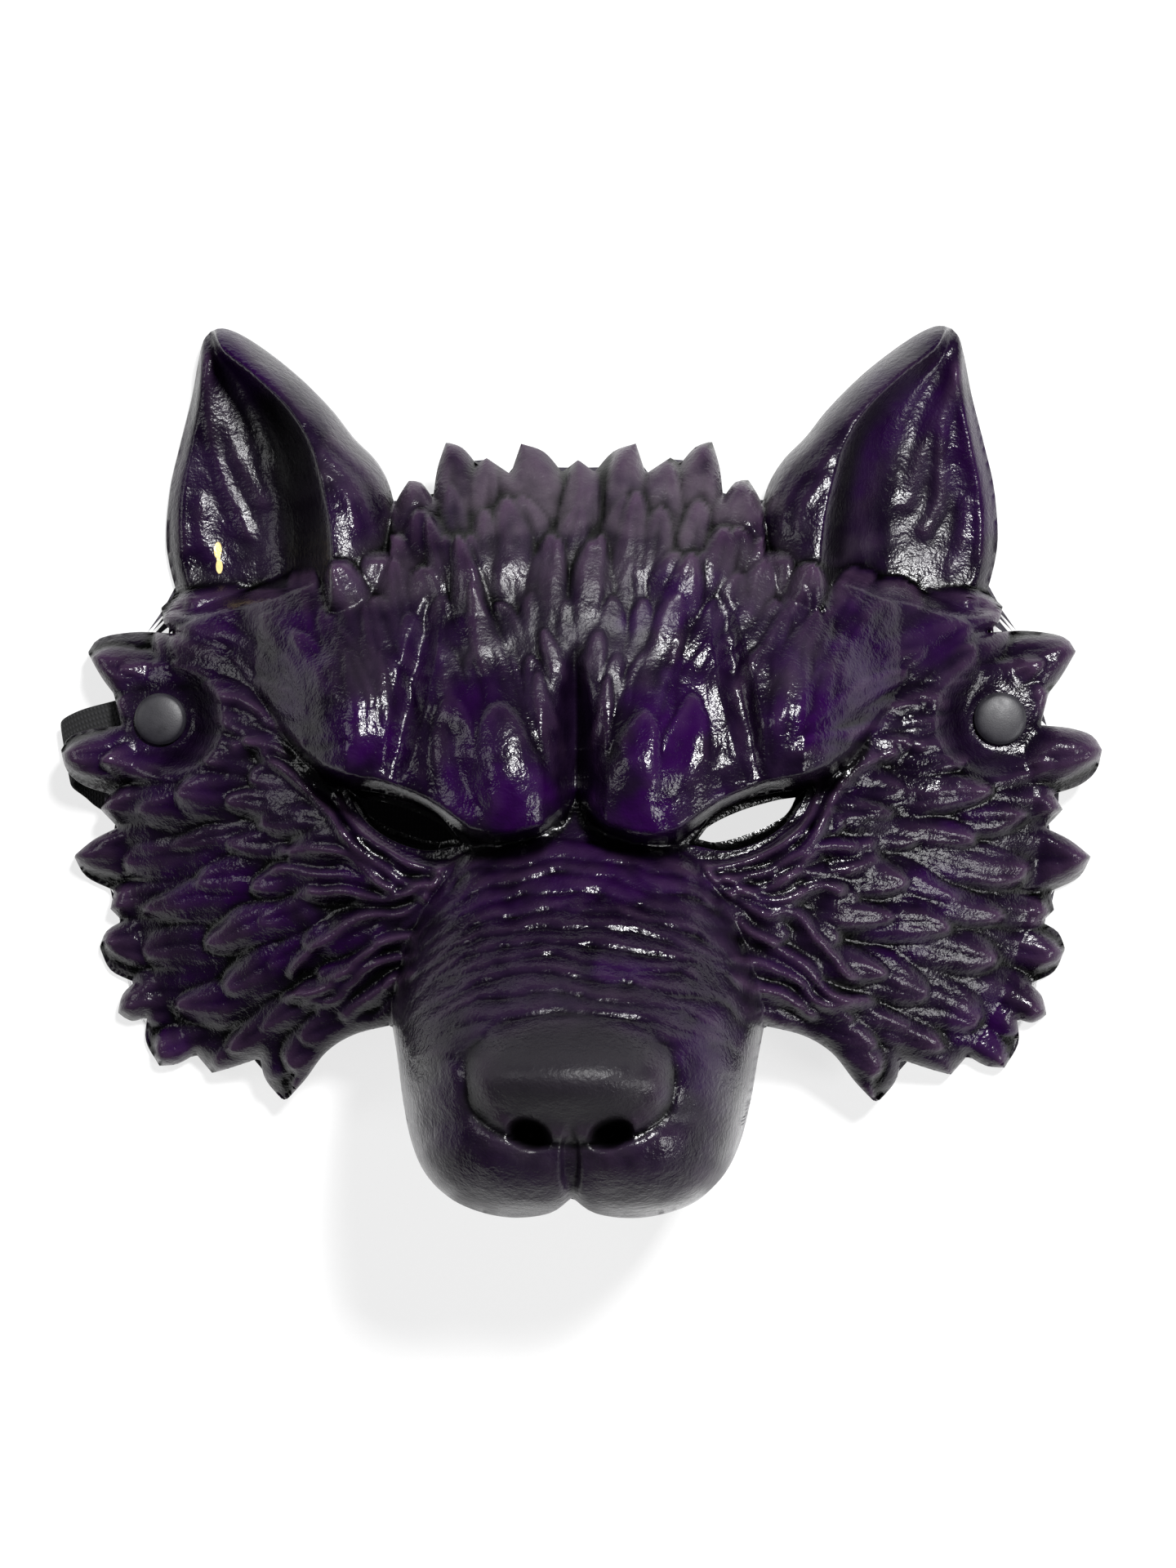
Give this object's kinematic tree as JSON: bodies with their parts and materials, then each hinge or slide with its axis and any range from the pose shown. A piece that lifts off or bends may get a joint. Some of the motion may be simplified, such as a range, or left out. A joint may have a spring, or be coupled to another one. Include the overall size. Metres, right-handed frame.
{
  "type": "foam wolf mask",
  "caption": "Moulded foam wolf half mask with pointed ears, fur tufts, open eye holes and muzzle, snap caps and a flat elastic strap.",
  "frame": {"origin": "on the surface that the mask lies on, under the middle of its box", "axes": "+X across the face to the right as it is seen, +Y up the face towards the ears, +Z out of the face towards the tip of the nose"},
  "size_m": [0.2522, 0.2074, 0.1046],
  "materials": {
    "foam": "skinned soft foam, black and purple, rubbed grey-mauve on the ridges, with a glossy lacquer over part of it",
    "snap": "satin black moulded plastic",
    "elastic": "matt black woven elastic"
  },
  "bodies": {
    "root": {"foam_shell": "foam", "snap_cap_left": "snap", "snap_cap_right": "snap", "snap_socket_left": "snap", "snap_socket_right": "snap", "strap": "elastic"}
  },
  "joints": []
}
